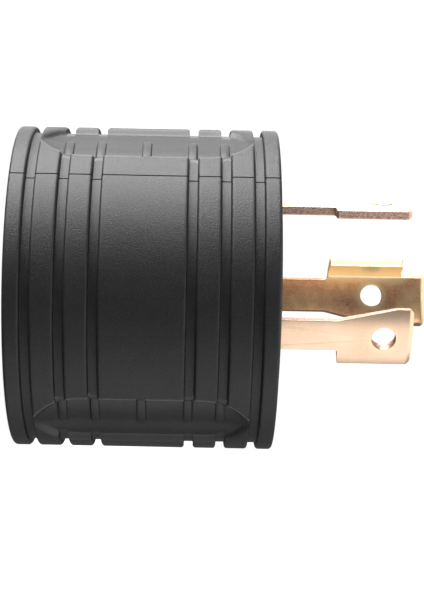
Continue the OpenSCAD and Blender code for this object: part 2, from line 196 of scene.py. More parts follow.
def mouldedPlastic(name, look):
    # spark-textured plastic: a pebbled bump, finer grit on it, slow changes of tone and gloss;
    # where the mesh is marked "scooped" the mould was polished, so it is smoother and glossier, and
    # where it is marked "lip" a paler grey is mixed in as a painted highlight along the lip's edge
    material, nodes, links, shader, coords = newMaterial(name)
    scooped = meshMark(nodes, "scooped")
    textured = mathNode(nodes, links, "MULTIPLY_ADD", scooped, -look["polish"], 1.0)
    pebble = noise(nodes, links, coords, look["pebble"], 2.5)
    grit = noise(nodes, links, coords, look["grit"], 2.0)
    cloud = noise(nodes, links, coords, look["cloud"], 3.0)
    tone = mathNode(nodes, links, "MULTIPLY_ADD", cloud, look["cloudTone"], -look["cloudTone"] / 2)
    tone = mathNode(nodes, links, "MULTIPLY_ADD", grit, look["mottle"], tone)
    tone = mathNode(nodes, links, "ADD", tone, 0.5 - look["mottle"] / 2, clamp=True)
    colour = mixColour(nodes, links, tone, look["dark"], look["light"])
    speck = mathNode(nodes, links, "MULTIPLY_ADD", grit, *look["speck"], clamp=True)
    dusted = mathNode(nodes, links, "MULTIPLY", speck, look["dust"])
    colour = mixColour(nodes, links, dusted, colour, look["dustColour"])
    # painted highlight: a pale grey mixed in along each scoop's deep lip
    colour = mixColour(nodes, links, meshMark(nodes, "lip"), colour, look["lipHighlightColour"])
    links.new(colour, shader.inputs["Base Color"])
    gloss = mathNode(nodes, links, "MULTIPLY_ADD", pebble, look["roughSpread"], look["rough"])
    gloss = mathNode(nodes, links, "MULTIPLY_ADD", scooped, look["scoopGloss"], gloss)
    links.new(gloss, shader.inputs["Roughness"])
    coarse = bump(nodes, links, mathNode(nodes, links, "MULTIPLY", pebble, textured), look["pebbleDepth"])
    fine = bump(nodes, links, mathNode(nodes, links, "MULTIPLY", grit, textured), look["gritDepth"], coarse)
    links.new(fine, shader.inputs["Normal"])
    shader.inputs["Specular IOR Level"].default_value = look["specular"]
    return material


def rolledMetal(name, look):
    # sheet metal: fine lines along the rolling direction, slow tarnish, and rough brown sheared edges
    material, nodes, links, shader, coords = newMaterial(name)
    lines = noise(nodes, links, coords, look["line"], 3.0, look["rolling"])
    tarnish = noise(nodes, links, coords, look["cloud"], 4.0)
    spread = mathNode(nodes, links, "MULTIPLY_ADD", tarnish, *look["tarnishCut"], clamp=True)
    face = mixColour(nodes, links, spread, look["colour"], look["tarnish"])
    # small dark spots where the sheet has stained, and none where the bright mark covers it: handling wear,
    # and on the ground blade the painted highlight of the tab and the painted reflection along its bend
    wearAndGlow = meshMark(nodes, "wearAndGlow")
    spots = noise(nodes, links, coords, look["spot"], 2.0)
    stained = mathNode(nodes, links, "MULTIPLY_ADD", spots, *look["stainCut"], clamp=True)
    stained = mathNode(nodes, links, "MULTIPLY", stained, spread)
    stained = mathNode(nodes, links, "MULTIPLY", stained, look["stain"])
    face = mixColour(nodes, links, stained, face, look["stainColour"])
    # brighter where worn round the hole and the tip; on the ground blade's tab a painted highlight, and
    # along its bend a painted reflection
    face = mixColour(nodes, links, wearAndGlow, face, look["wearAndGlowColour"])
    grain = noise(nodes, links, coords, look["edgeGrain"], 3.0)
    blotch = mathNode(nodes, links, "MULTIPLY_ADD", grain, *look["edgeCut"], clamp=True)
    edge = mixColour(nodes, links, blotch, look["edgeDark"], look["edgeLight"])
    onEdge = meshMark(nodes, "sheared")
    clearOfWearAndGlow = mathNode(nodes, links, "SUBTRACT", 1.0, wearAndGlow)
    raw = mathNode(nodes, links, "MULTIPLY", onEdge, clearOfWearAndGlow)
    links.new(mixColour(nodes, links, raw, face, edge), shader.inputs["Base Color"])
    shader.inputs["Metallic"].default_value = 1.0
    faceRough = mathNode(nodes, links, "MULTIPLY_ADD", lines, look["roughSpread"], look["rough"])
    rough = mathNode(nodes, links, "MULTIPLY_ADD", onEdge, look["edgeRough"], faceRough)
    links.new(rough, shader.inputs["Roughness"])
    facing = bump(nodes, links, lines, look["lineDepth"])
    torn = mathNode(nodes, links, "MULTIPLY", grain, onEdge)
    links.new(bump(nodes, links, torn, look["edgeDepth"], facing), shader.inputs["Normal"])
    return material


# grain sizes and depths are in millimetres; speck and the cuts are the gain and the offset that
# sharpen a noise before it is clamped to 0..1
plasticLook = {
    "dark": (0.004, 0.004, 0.005), "light": (0.021, 0.021, 0.022), "mottle": 3.0, "cloudTone": 0.6,
    "speck": (14.0, -9.6), "dust": 0.25, "dustColour": (0.12, 0.12, 0.12),
    # the pale grey of the painted highlight along the scoops' lips
    "lipHighlightColour": (0.12, 0.12, 0.12),
    "pebble": 0.24, "grit": 0.12, "cloud": 6.0, "pebbleDepth": 0.040, "gritDepth": 0.032,
    "rough": 0.35, "roughSpread": 0.12, "specular": 0.38, "polish": 0.75, "scoopGloss": -0.10,
}
carrierLook = plasticLook | {"dark": (0.05, 0.05, 0.055), "light": (0.07, 0.07, 0.075)}
barrierLook = plasticLook | {"dark": (0.62, 0.57, 0.47), "light": (0.72, 0.68, 0.58), "dust": 0.0}
brassLook = {
    "colour": (0.93, 0.68, 0.49), "tarnish": (0.88, 0.61, 0.42), "tarnishCut": (2.6, -0.8),
    "wearAndGlowColour": (0.95, 0.70, 0.48), "spot": 0.22, "stain": 0.25, "stainCut": (7.0, -3.6),
    "stainColour": (0.40, 0.24, 0.16),
    "line": 0.12, "rolling": (1, 1, 0.06), "cloud": 5.0,
    "rough": 0.24, "roughSpread": 0.14, "lineDepth": 0.0025,
    "edgeDark": (0.40, 0.25, 0.20), "edgeLight": (0.72, 0.52, 0.44),
    "edgeGrain": 0.28, "edgeCut": (3.4, -1.2), "edgeRough": 0.30, "edgeDepth": 0.03,
}
groundLook = brassLook | {
    "colour": (0.95, 0.66, 0.36), "tarnish": (0.76, 0.40, 0.25), "cloud": 3.0,
    # the bright colour for wear, and for the painted highlight on the tab and the painted reflection along
    # its bend
    "wearAndGlowColour": (1.0, 0.84, 0.52), "stain": 0.85, "stainColour": (0.26, 0.14, 0.08), "spot": 0.2,
    "edgeDark": (0.24, 0.14, 0.07), "edgeLight": (0.48, 0.33, 0.17), "rough": 0.28, "lineDepth": 0.007,
}
copperLook = brassLook | {"colour": (0.80, 0.42, 0.27), "tarnish": (0.66, 0.33, 0.20), "rough": 0.32}
bronzeLook = brassLook | {"colour": (0.82, 0.52, 0.33), "tarnish": (0.70, 0.42, 0.25), "rough": 0.30}
steelLook = brassLook | {"colour": (0.66, 0.66, 0.67), "tarnish": (0.56, 0.56, 0.57), "rough": 0.28}
turnedLook = brassLook | {"colour": (0.86, 0.66, 0.34), "tarnish": (0.76, 0.55, 0.26), "rolling": (1, 1, 8)}

materials = {
    "shell_plastic": mouldedPlastic("shellPlastic", plasticLook),
    "face_plastic": mouldedPlastic("facePlastic", plasticLook | {"pebbleDepth": 0.02, "rough": 0.36}),
    "carrier_plastic": mouldedPlastic("carrierPlastic", carrierLook),
    "barrier_board": mouldedPlastic("barrierBoard", barrierLook),
    "blade_brass": rolledMetal("bladeBrass", brassLook),
    "ground_brass": rolledMetal("groundBrass", groundLook),
    "strap_copper": rolledMetal("strapCopper", copperLook),
    "contact_bronze": rolledMetal("contactBronze", bronzeLook),
    "spring_steel": rolledMetal("springSteel", steelLook),
    "rivet_brass": rolledMetal("rivetBrass", turnedLook),
    "screw_steel": rolledMetal("screwSteel", steelLook | {"rolling": (1, 1, 6)}),
    "insert_brass": rolledMetal("insertBrass", turnedLook),
}
print("materials made:", len(materials))


# the two shell halves, in millimetres and degrees
shell = {
    "rim": 2.55, "groove": 1.45, "band": 3.62, "grooveDepth": 1.05,
    "edgeRound": 0.42, "floorRound": 0.14, "rimRound": 0.5,
    "faceHole": 21.7, "cavity": 22.6, "ledge": 1.9, "mouthRound": 0.25, "mouthCut": 0.07,
    "seamHalf": 0.05, "seamDepth": 0.30, "seamRound": 0.06, "smoothAngle": 42,
    # steps of the surface's grid, in millimetres along the axis and degrees round it
    "rowStep": 0.28, "ribRows": (0.45, 0.85), "ribRowStep": 0.08,
    "fineAngle": 0.36, "coarseAngle": 1.8, "leastAngle": 0.12,
}
scoop = {
    "places": ((155.4, 1), (-83.5, -1), (35.4, 1)),   # where each is round the body, and its deep side
    "halfAngle": 14.9, "endHalfAngle": 4.6, "taper": 8.0, "taperPower": 2.7,
    "deep": 1.66, "shallow": 1.0, "riseFrom": 0.52, "riseOver": 0.42, "endDepth": 0.2,
    "ramp": 1.8, "lipRound": 0.30, "footRound": 0.2, "farRamp": 1.5, "farRampEnd": 4.2,
    "ribWidth": 1.42, "ribSide": 0.16, "ribReach": 4.0, "ribShrink": 0.16, "ribTip": 1.8,
    "ribCrown": 0.14, "ribDrop": 0.04, "ribSpread": 0.98,
    # where the painted highlight along each scoop's deep lip sits, how wide it is and how it ends at the
    # ribs, and the width of the polish mark's edge
    "lipHighlightAt": 0.2, "lipHighlightHalf": 0.35, "lipHighlightEnd": 0.2, "polishEdge": 0.4,   # the marks for the material
}


def bandSpans():
    # start and end of each rim and band along the axis; the middle band takes what is left
    pitch = shell["band"] + shell["groove"]
    first = shell["rim"] + shell["groove"]
    spans = [(0, shell["rim"])] + [(low, low + shell["band"]) for low in (first, first + pitch)]
    middle = (first + 2 * pitch, bodyLength - first - 2 * pitch)
    mirrored = [(bodyLength - high, bodyLength - low) for low, high in reversed(spans)]
    return spans + [middle] + mirrored


def arc(centreR, centreZ, radius, start, stop, count):
    # points on a circle: its centre plus the radius times the cosine and the sine of each angle
    angle = np.radians(np.linspace(start, stop, count))
    return np.stack([centreR + radius * np.cos(angle), centreZ + radius * np.sin(angle)], -1)


def outerRows():
    # the outside outline from the socket end to the plug end: flats, rounded band edges,
    # groove walls along the radius and floors with a small fillet
    grooveRadius = bodyRadius - shell["grooveDepth"]
    fillet = shell["floorRound"]
    spans = bandSpans()
    rows = []
    for k, (low, high) in enumerate(spans):
        lowRound = shell["rimRound"] if k == 0 else shell["edgeRound"]
        highRound = shell["rimRound"] if k == len(spans) - 1 else shell["edgeRound"]
        rows.append(arc(bodyRadius - lowRound, low + lowRound, lowRound, -90, 0, 6))
        flat = steps(low + lowRound, high - highRound, shell["rowStep"])[1:-1]
        if k == len(spans) // 2:
            # closer rows at the sides of the rib in the middle of this band
            middle, nearest, furthest = (low + high) / 2, *shell["ribRows"]
            sides = middle + np.array([-1, 1])[:, None] * steps(nearest, furthest, shell["ribRowStep"])
            flat = flat[np.abs(flat - middle) > furthest + 0.1]
            flat = np.sort(np.concatenate([flat, sides.ravel()]))
        rows.append(np.stack([np.full(len(flat), bodyRadius), flat], -1))
        rows.append(arc(bodyRadius - highRound, high - highRound, highRound, 0, 90, 6))
        if k < len(spans) - 1:
            nextLow = spans[k + 1][0]
            rows.append(arc(grooveRadius + fillet, high + fillet, fillet, 270, 180, 4))
            floor = steps(high + fillet, nextLow - fillet, shell["rowStep"])[1:-1]
            rows.append(np.stack([np.full(len(floor), grooveRadius), floor], -1))
            rows.append(arc(grooveRadius + fillet, nextLow - fillet, fillet, 180, 90, 4))
    return np.concatenate(rows)


def scoopGrowth(z):
    # 1 in the middle of a scoop's length, eased down to 0 at both ends by 1 - (1 - t)^p
    low = shell["rim"] + shell["groove"]
    fromEnd = np.minimum(z - low, bodyLength - low - z) / scoop["taper"]
    return 1 - (1 - np.clip(fromEnd, 0, 1)) ** scoop["taperPower"]


def betweenEnds(key, endKey, grown):
    # a scoop's value at its ends, grown to its value in the middle
    return scoop[endKey] + (scoop[key] - scoop[endKey]) * grown


def ribHeights():
    # heights of the ribs: one in the middle and one for each groove, drawn in a little to the middle
    spans = bandSpans()
    half, middle = shell["groove"] / 2, bodyLength / 2
    grooves = [spans[1][1] + half, spans[2][1] + half, spans[4][0] - half, spans[5][0] - half]
    return [middle] + [middle + (height - middle) * scoop["ribSpread"] for height in grooves]


def rampFall(t, lip, foot):
    # 0 at the lip and 1 on the floor: a straight fall with a small round at the lip and a wide one
    # at the foot, which is the integral of a slope that grows over `lip` and fades over `foot`
    t = np.clip(t, 0, 1)
    whole = 1 - lip / 2 - foot / 2
    fall = np.where(t < lip, t * t / (2 * lip), t - lip / 2)
    return np.where(t > 1 - foot, whole - (1 - t) ** 2 / (2 * foot), fall) / whole


def ribbed(floor, across, z):
    # short ribs stand on a scoop's floor from its deep lip, almost up to the groove radius; each has
    # straight sides and a half-round tip past the scoop's middle, and the outer ones are shorter
    grooveRadius = bodyRadius - shell["grooveDepth"]
    for height in ribHeights():
        reach = scoop["ribReach"] - scoop["ribShrink"] * abs(height - bodyLength / 2)
        past = np.maximum(-across - reach + scoop["ribTip"], 0) / scoop["ribTip"]
        fromLine = np.hypot(np.abs(z - height) / (scoop["ribWidth"] / 2), past)
        side = smooth((1 - fromLine) / scoop["ribSide"] + 0.5)
        rib = grooveRadius - scoop["ribDrop"] - scoop["ribCrown"] * fromLine ** 2
        floor = np.where(rib > floor, floor + (rib - floor) * side, floor)
    return floor


def scoopedRadius(angle, z):
    # the radius that the scoops leave at each angle and height: a steep ramp falls from the deep lip to
    # a floor that rises towards the other side and runs out there over a gentle ramp;
    # also two marks: one grows from 0 at the scoop's edge to 1 inside, and the other, which places a painted
    # highlight, is 1 along the deep lip, except where a groove or a rib meets it
    radius = np.full(np.broadcast(angle, z).shape, bodyRadius + 1.0)
    mark, lip = np.zeros(radius.shape), np.zeros(radius.shape)
    perDegree = math.radians(1) * bodyRadius
    low = shell["rim"] + shell["groove"] - 0.1
    along = (z > low) & (z < bodyLength - low)
    grown = scoopGrowth(z)
    half = betweenEnds("halfAngle", "endHalfAngle", grown)
    for centre, deepSide in scoop["places"]:
        across = wrapDegrees(angle - centre) * deepSide      # positive towards the deep side
        fromDeep, fromFar = (half - across) * perDegree, (half + across) * perDegree
        inside = np.minimum(fromDeep, fromFar)
        share = np.clip((half - across) / (2 * half), 0, 1)  # 0 at the deep edge, 1 at the shallow one
        risen = smooth((share - scoop["riseFrom"]) / scoop["riseOver"])
        depth = scoop["deep"] + (scoop["shallow"] - scoop["deep"]) * risen
        depth = depth * (scoop["endDepth"] + (1 - scoop["endDepth"]) * grown)
        falls = rampFall(fromDeep / scoop["ramp"], scoop["lipRound"], scoop["footRound"])
        runOut = smooth(fromFar / betweenEnds("farRamp", "farRampEnd", grown))
        floor = ribbed(bodyRadius - depth * falls * runOut, across, z)
        radius = np.where(along & (inside > 0), np.minimum(radius, floor), radius)
        mark = np.where(along, np.maximum(mark, smooth(inside / scoop["polishEdge"])), mark)
        # a painted highlight: a narrow band just inside the deep lip, left off where each rib meets it
        lipHighlight = 1 - smooth(np.abs(fromDeep - scoop["lipHighlightAt"]) / scoop["lipHighlightHalf"])
        for height in ribHeights():
            lipHighlight = lipHighlight * smooth((np.abs(z - height) - scoop["ribWidth"] / 2) / scoop["lipHighlightEnd"] + 0.5)
        lip = np.where(along, np.maximum(lip, lipHighlight), lip)
    return radius, mark, lip


def shellColumns(start):
    # angles over half a turn, fine over the scoops, with the seam's own columns at both ends;
    # each column also has an inset, which sinks it into the seam
    fine = [centre for centre, _ in scoop["places"] if 0 < (centre - start) % 360 < 180]
    seam = math.degrees(shell["seamHalf"] / bodyRadius)
    edge = seam + math.degrees(shell["seamRound"] / bodyRadius)
    angles = [start + steps(edge, 180 - edge, shell["coarseAngle"])]
    for centre in fine:
        middle = start + (centre - start) % 360
        reach = scoop["halfAngle"] + 0.5
        angles.append(middle + steps(-reach, reach, shell["fineAngle"]))
    angles = np.unique(np.round(np.concatenate(angles), 4))
    keep = np.ones(len(angles), bool)
    keep[1:] = np.diff(angles) > shell["leastAngle"]
    angles = angles[keep]
    ends = [start, start + seam, start + seam]
    insets = [shell["seamDepth"], shell["seamDepth"] * 0.95, shell["seamRound"]]
    angles = np.concatenate([ends, angles, [2 * start + 180 - a for a in reversed(ends)]])
    inset = np.concatenate([insets, np.zeros(len(angles) - 6), insets[::-1]])
    return angles, inset


def makeShell(name, start):
    # outline rows carried round half a turn, the cavity's rows back again, and the two flat seam faces
    outer = outerRows()
    mouth, cut = shell["mouthRound"], shell["mouthCut"]
    hole, cavity, ledge = shell["faceHole"], shell["cavity"], shell["ledge"]
    lowFace = [(hole, mouth), (hole + cut, cut), (hole + mouth, 0), ((hole + bodyRadius) / 2, 0)]
    highFace = [(r, bodyLength - z) for r, z in reversed(lowFace)]
    inner = [(hole, bodyLength - ledge), (cavity, bodyLength - ledge), (cavity, bodyLength / 2),
             (cavity, ledge), (hole, ledge)]
    rows = np.concatenate([lowFace, outer, highFace, inner])
    kind = np.concatenate([np.full(4, 1), np.zeros(len(outer)), np.full(4, 2), np.full(5, 3)])
    angles, inset = shellColumns(start)
    radius = np.repeat(rows[:, :1], len(angles), 1)
    height = np.repeat(rows[:, 1:], len(angles), 1)
    isOuter = (kind == 0)[:, None]
    scooped, mark, lip = scoopedRadius(angles[None, :], height)
    radius = np.where(isOuter, np.minimum(radius, scooped) - inset, radius)
    height = height + np.where((kind == 1)[:, None], inset, 0) - np.where((kind == 2)[:, None], inset, 0)
    points = polar(radius, np.broadcast_to(angles, radius.shape), height).reshape(-1, 3)
    count, wide = radius.shape
    faces = gridFaces(count, wide, True, False).tolist()
    faces.append([i * wide for i in range(count)])
    faces.append([i * wide + wide - 1 for i in reversed(range(count))])
    marks = {"scooped": np.where(isOuter, mark, 0).ravel(), "lip": np.where(isOuter, lip, 0).ravel()}
    return makePiece(name, points, faces, shell["smoothAngle"], marks)


front = place(makeShell("housingFront", 180), ["housing_front"], materials["shell_plastic"])
rear = place(makeShell("housingRear", 0), ["housing_rear"], materials["shell_plastic"])
print("shells made:", len(front.data.polygons), "and", len(rear.data.polygons), "faces")


# the three curved blades, in millimetres and degrees
blades = {
    "outerRadius": 14.5, "thickness": 1.45, "footLow": 26.0, "footHigh": 31.4, "footExtra": 3.0,
    "hookHeight": 9.6, "flareLength": 9.0, "holeRadius": 1.9, "edgeRound": 0.06,
    "tipBevel": 0.6, "tipDrop": 0.3, "cornerRound": 0.8, "pointStep": 0.22,
    "tearFrom": 0.35, "tearOver": 0.3, "tearDepth": 0.05, "tearWave": 0.035, "smoothAngle": 24,
    # wear round the hole and the tip; a painted highlight over the ground blade's tab and a painted
    # reflection along its bend
    "wear": 0.8, "bendGlow": 0.7, "tabHighlight": 0.9, "wornRing": 1.3, "bendGlowWidth": 1.6, "bendGlowEnds": 1.5,
}
bladeSet = {
    # edges of the neck and the head and the hole, as angles round the axis; reach above the rim
    "bladeLine": {"neck": (-120.5, -99.5), "head": (-128.5, -87.7), "hole": (-108.7, 4.5), "length": 21.3,
                  "node": "blade_line", "slot": "blade_brass"},
    "bladeNeutral": {"neck": (122.5, 151.3), "head": (117.0, 157.3), "hole": (136.9, 4.5), "length": 21.9,
                     "node": "blade_neutral", "slot": "blade_brass"},
    "bladeGround": {"neck": (26.5, 49.8), "head": (17.5, 53.8), "hole": (38.3, 9.15), "length": 26.9,
                    "tab": {"low": 10.15, "high": 22.65, "width": 4.5, "lean": 56, "bendRadius": 1.4,
                            "start": 0.55},
                    "node": "blade_ground", "slot": "ground_brass"},
}


def roundedOutline(corners, step):
    # corner points with a radius each: an arc at every corner, and evenly spaced points between
    places = np.array([c[:2] for c in corners], float)
    radii = [c[2] for c in corners]
    pieces = []
    for k, here in enumerate(places):
        before, after = places[k - 1], places[(k + 1) % len(places)]
        back, ahead = before - here, after - here
        backLength, aheadLength = np.linalg.norm(back), np.linalg.norm(ahead)
        back, ahead = back / backLength, ahead / aheadLength
        half = math.acos(np.clip(back @ ahead, -1, 1)) / 2
        trim = min(radii[k] / math.tan(half), 0.45 * min(backLength, aheadLength))
        radius = trim * math.tan(half)
        middle = (back + ahead) / np.linalg.norm(back + ahead) * radius / math.sin(half)
        first, last = here + back * trim, here + ahead * trim
        turn = np.linspace(0, 1, 7)[:, None]
        spoke = (first - here - middle) * (1 - turn) + (last - here - middle) * turn
        pieces.append(here + middle + spoke / np.linalg.norm(spoke, axis=1, keepdims=True) * radius)
    filled = []
    for k, part in enumerate(pieces):
        gap = pieces[(k + 1) % len(pieces)][0] - part[-1]
        count = max(1, int(np.linalg.norm(gap) / step))
        filled.append(part)
        filled.append(part[-1] + gap * (np.arange(1, count) / count)[:, None])
    return np.concatenate(filled)


def bladeCorners(blade, midRadius):
    # the flat blank, anticlockwise: across the sheet and along the plug axis, with each corner's radius;
    # the locking step is on the right, and the left edge of the head flares out slowly
    middle = sum(blade["neck"]) / 2
    neck = [midRadius * math.radians(a - middle) for a in blade["neck"]]
    head = [midRadius * math.radians(a - middle) for a in blade["head"]]
    foot = midRadius * math.radians(blades["footExtra"])
    hook = bodyLength + blades["hookHeight"]
    tip = bodyLength + blade["length"]
    footLow, footHigh = blades["footLow"], blades["footHigh"]
    corner = blades["cornerRound"]
    right = [(neck[1] + foot, footLow, 0.3), (neck[1] + foot, footHigh, 0.2), (neck[1], footHigh, 0.2)]
    if "tab" in blade:
        tab = blade["tab"]
        edge, low, high = head[1] + tab["width"], bodyLength + tab["low"], bodyLength + tab["high"]
        right += [(neck[1], low, 0.7), (edge, low, 0.3), (edge, high, 0.3), (head[1], high, 0.25)]
    else:
        right += [(neck[1], hook, 0.35), (head[1], hook + 0.2, 0.3)]
    left = [
        (head[1], tip, corner), (head[0], tip, corner), (head[0], hook + blades["flareLength"], 3.0),
        (neck[0], hook, 3.0), (neck[0], footHigh, 0.2), (neck[0] - foot, footHigh, 0.2),
        (neck[0] - foot, footLow, 0.3),
    ]
    return right + left, head[1]


def bendSheet(across, height, out, midRadius, middle, tab, tabStart):
    # the flat sheet laid round the axis; past tabStart it turns in along a small bend and runs on straight.
    # `out` is the distance from the sheet's middle surface, positive away from the axis
    angle = across / midRadius
    bend = 0 * across
    if tab:
        bendLength = math.radians(tab["lean"]) * tab["bendRadius"]
        bend = np.clip(across - tabStart, 0, bendLength)
        straight = np.maximum(across - tabStart - bendLength, 0)
        angle = np.minimum(across, tabStart) / midRadius
    centreline = np.stack([midRadius * np.cos(angle), midRadius * np.sin(angle)], -1)
    outward = np.stack([np.cos(angle), np.sin(angle)], -1)
    if tab:
        radial, along = outward, np.stack([-np.sin(angle), np.cos(angle)], -1)
        lean = bend / tab["bendRadius"]
        sine, cosine = np.sin(lean)[..., None], np.cos(lean)[..., None]
        bent = along * cosine - radial * sine
        centreline = centreline + tab["bendRadius"] * (along * sine - radial * (1 - cosine))
        centreline = centreline + bent * straight[..., None]
        outward = radial * cosine + along * sine
    flat = centreline + outward * out[..., None]
    turn = math.radians(middle)
    x = flat[..., 0] * math.cos(turn) - flat[..., 1] * math.sin(turn)
    y = flat[..., 0] * math.sin(turn) + flat[..., 1] * math.cos(turn)
    return np.stack([x, y, height + 0 * x], -1)


def bladeWearAndGlow(blade, flat, holeAt, tabStart):
    # how bright each point is made: worn round the hole and along the bevel of the tip, a painted highlight
    # on the tab and a painted reflection glow along its bend, but not on the hole's own wall, which is the
    # last three columns
    tip = bodyLength + blade["length"]
    fromHole = np.linalg.norm(flat - holeAt, axis=-1) - blades["holeRadius"]
    wearAndGlow = blades["wear"] * (1 - smooth(fromHole / blades["wornRing"]))
    onTip = smooth((flat[..., 1] - tip + blades["tipBevel"]) / 0.2 + 0.5)
    wearAndGlow = np.maximum(wearAndGlow, blades["wear"] * onTip)
    # painted highlight over the tab, and a painted reflection glow along its bend
    if "tab" in blade:
        low, high = bodyLength + blade["tab"]["low"], bodyLength + blade["tab"]["high"]
        fromBend = np.abs(flat[..., 0] - tabStart)
        fromEnds = np.minimum(flat[..., 1] - low, high - flat[..., 1])
        bend = (1 - smooth(fromBend / blades["bendGlowWidth"])) * smooth(fromEnds / blades["bendGlowEnds"] + 1)
        wearAndGlow = np.maximum(wearAndGlow, blades["bendGlow"] * bend)
        wearAndGlow = np.maximum(wearAndGlow, blades["tabHighlight"] * smooth(flat[..., 0] - tabStart))
    # the hole's wall stays unbrightened, so its dark sheared-edge colour also serves as painted shade inside
    # the hole
    wearAndGlow[:, -3:] = 0
    return wearAndGlow


def makeBlade(name, blade):
    # a ring-shaped grid: one way runs round the outline, the other goes through the hole, over the
    # outer face, down the sheared edge and back under the inner face
    midRadius = blades["outerRadius"] - blades["thickness"] / 2
    corners, tabStart = bladeCorners(blade, midRadius)
    outline = roundedOutline(corners, blades["pointStep"])
    middle = sum(blade["neck"]) / 2
    tip = bodyLength + blade["length"]
    holeAngle, holeBack = blade["hole"]
    holeAt = np.array([midRadius * math.radians(holeAngle - middle), tip - holeBack])
    tangent = np.roll(outline, -1, 0) - np.roll(outline, 1, 0)
    tangent /= np.linalg.norm(tangent, axis=1, keepdims=True)
    normal = np.stack([tangent[:, 1], -tangent[:, 0]], -1)
    ray = outline - holeAt
    ray /= np.linalg.norm(ray, axis=1, keepdims=True)
    rim = holeAt + ray * blades["holeRadius"]
    edge = blades["edgeRound"]
    thickness = blades["thickness"]
    quarter = np.radians([0, 22.5, 45, 67.5, 90])
    # rounded hole lip, the face, then the rounded outer lip: distances in, and depths under the face
    lipIn, lipUnder = edge * (1 - np.cos(quarter)), edge * (1 - np.sin(quarter))
    span = np.linspace(0, 1, 26)[1:-1]
    holeSide = rim[:, None] + ray[:, None] * lipIn[None, :, None]
    outSide = outline[:, None] - normal[:, None] * lipIn[None, ::-1, None]
    face = holeSide[:, -1:] + (outSide[:, :1] - holeSide[:, -1:]) * span[None, :, None]
    over = np.concatenate([holeSide, face, outSide], 1)
    under = np.concatenate([lipUnder, np.zeros(len(span)), lipUnder[::-1]])
    # the tip is bevelled on both faces
    slope = np.clip((over[..., 1] - (tip - blades["tipBevel"])) / blades["tipBevel"], 0, 1)
    top = thickness / 2 - np.maximum(under[None, :], slope * blades["tipDrop"])
    bottom = -top[:, ::-1]
    # the sheared wall: a burnished strip, then a torn zone that is pulled in and slightly wavy
    depth = np.linspace(0, 1, 7)[1:-1]
    wave = np.sin(outline[:, :1] * 5.3 + outline[:, 1:] * 7.1) + np.sin(outline[:, 1:] * 17.0 + 1.3)
    torn = smooth((depth - blades["tearFrom"]) / blades["tearOver"])[None, :]
    pull = torn * (blades["tearDepth"] + blades["tearWave"] * wave * 0.5)
    wallTop, wallBottom = top[:, -1:], bottom[:, :1]
    wallOut = wallTop + (wallBottom - wallTop) * depth[None, :]
    wall = outline[:, None] - normal[:, None] * pull[..., None]
    holeOut = bottom[:, -1:] + (top[:, :1] - bottom[:, -1:]) * np.array([0.25, 0.5, 0.75])[None, :]
    holeWall = np.repeat(rim[:, None], 3, 1)
    flat = np.concatenate([over, wall, over[:, ::-1], holeWall], 1)
    out = np.concatenate([top, wallOut, bottom, holeOut], 1)
    outerLip = (np.arange(over.shape[1]) >= over.shape[1] - 2) * 0.6
    # the hole's wall takes the full dark sheared-edge colour: its punched edge, and painted shade inside the
    # hole
    sheared = np.concatenate([outerLip, np.ones(wall.shape[1]), outerLip[::-1] * 0.7, np.ones(3)])
    tab = blade.get("tab")
    tabStart -= tab["start"] if tab else 0
    points = bendSheet(flat[..., 0], flat[..., 1], out, midRadius, middle, tab, tabStart)
    faces = gridFaces(*points.shape[:2], True, True)
    shearedAll = np.repeat(sheared[None, :], len(points), 0).ravel()
    wearAndGlow = bladeWearAndGlow(blade, flat, holeAt, tabStart)
    marks = {"sheared": shearedAll, "wearAndGlow": wearAndGlow.ravel()}
    return makePiece(name, points.reshape(-1, 3), faces.tolist(), blades["smoothAngle"], marks)


for name, blade in bladeSet.items():
    place(makeBlade(name, blade), [blade["node"]], materials[blade["slot"]])
print("blades made:", len(bladeSet))


# the plug face, in millimetres
plug = {
    "radius": 21.55, "flangeRadius": 22.45, "low": 31.5, "flangeTop": 39.5, "edgeRound": 0.35,
    "slotClear": 0.12, "slotRound": 0.18, "ringAt": 18.4, "ringHalf": 0.9, "ringHeight": 0.12,
    "ringSlope": 0.25, "ringBlend": 0.3, "dishRadius": 10.2, "dishDepth": 0.5, "dishRound": 0.6,
    # steps of the face's grid, in millimetres along the radius and degrees round the axis
    "centreHole": 0.8, "dishStep": 0.8, "roundStep": 0.12, "plainStep": 0.5, "outerStep": 0.6,
    "ringStep": 0.15, "columnStep": 2.0, "leastAngle": 0.7,
}


def plugFaceGrid(slots, inner, outer):
    # the radii and angles of the face's polar grid: closer together at the dish, at the ring and at
    # the eased edges of the slots
    ease = plug["slotRound"]
    dishLow, dishHigh = plug["dishRadius"] - plug["dishRound"], plug["dishRadius"]
    ringLow = plug["ringAt"] - plug["ringHalf"] - plug["ringBlend"]
    ringHigh = plug["ringAt"] + plug["ringHalf"] + plug["ringBlend"]
    radii = np.concatenate([
        steps(plug["centreHole"], dishLow, plug["dishStep"])[:-1],
        steps(dishLow, dishHigh, plug["roundStep"])[:-1],
        steps(dishHigh, inner - ease, plug["plainStep"])[:-1],
        [inner - ease, inner - ease / 2, inner, (inner + outer) / 2, outer, outer + ease / 2],
        steps(outer + ease, ringLow, plug["outerStep"])[:-1],
        steps(ringLow, ringHigh, plug["ringStep"])[:-1],
        steps(ringHigh, plug["radius"] - plug["edgeRound"], plug["plainStep"]),
    ])
    easeAngle = math.degrees(ease / ((inner + outer) / 2))
    lines = easeAngle * np.array([0, 0.5, 1])
    special = np.sort(np.concatenate([[low - lines, high + lines] for low, high in slots]).ravel() % 360)
    plain = np.arange(0, 360, plug["columnStep"])
    gap = np.abs(wrapDegrees(plain[:, None] - special[None, :])).min(1)
    return radii, np.sort(np.concatenate([special, plain[gap > plug["leastAngle"]]]))


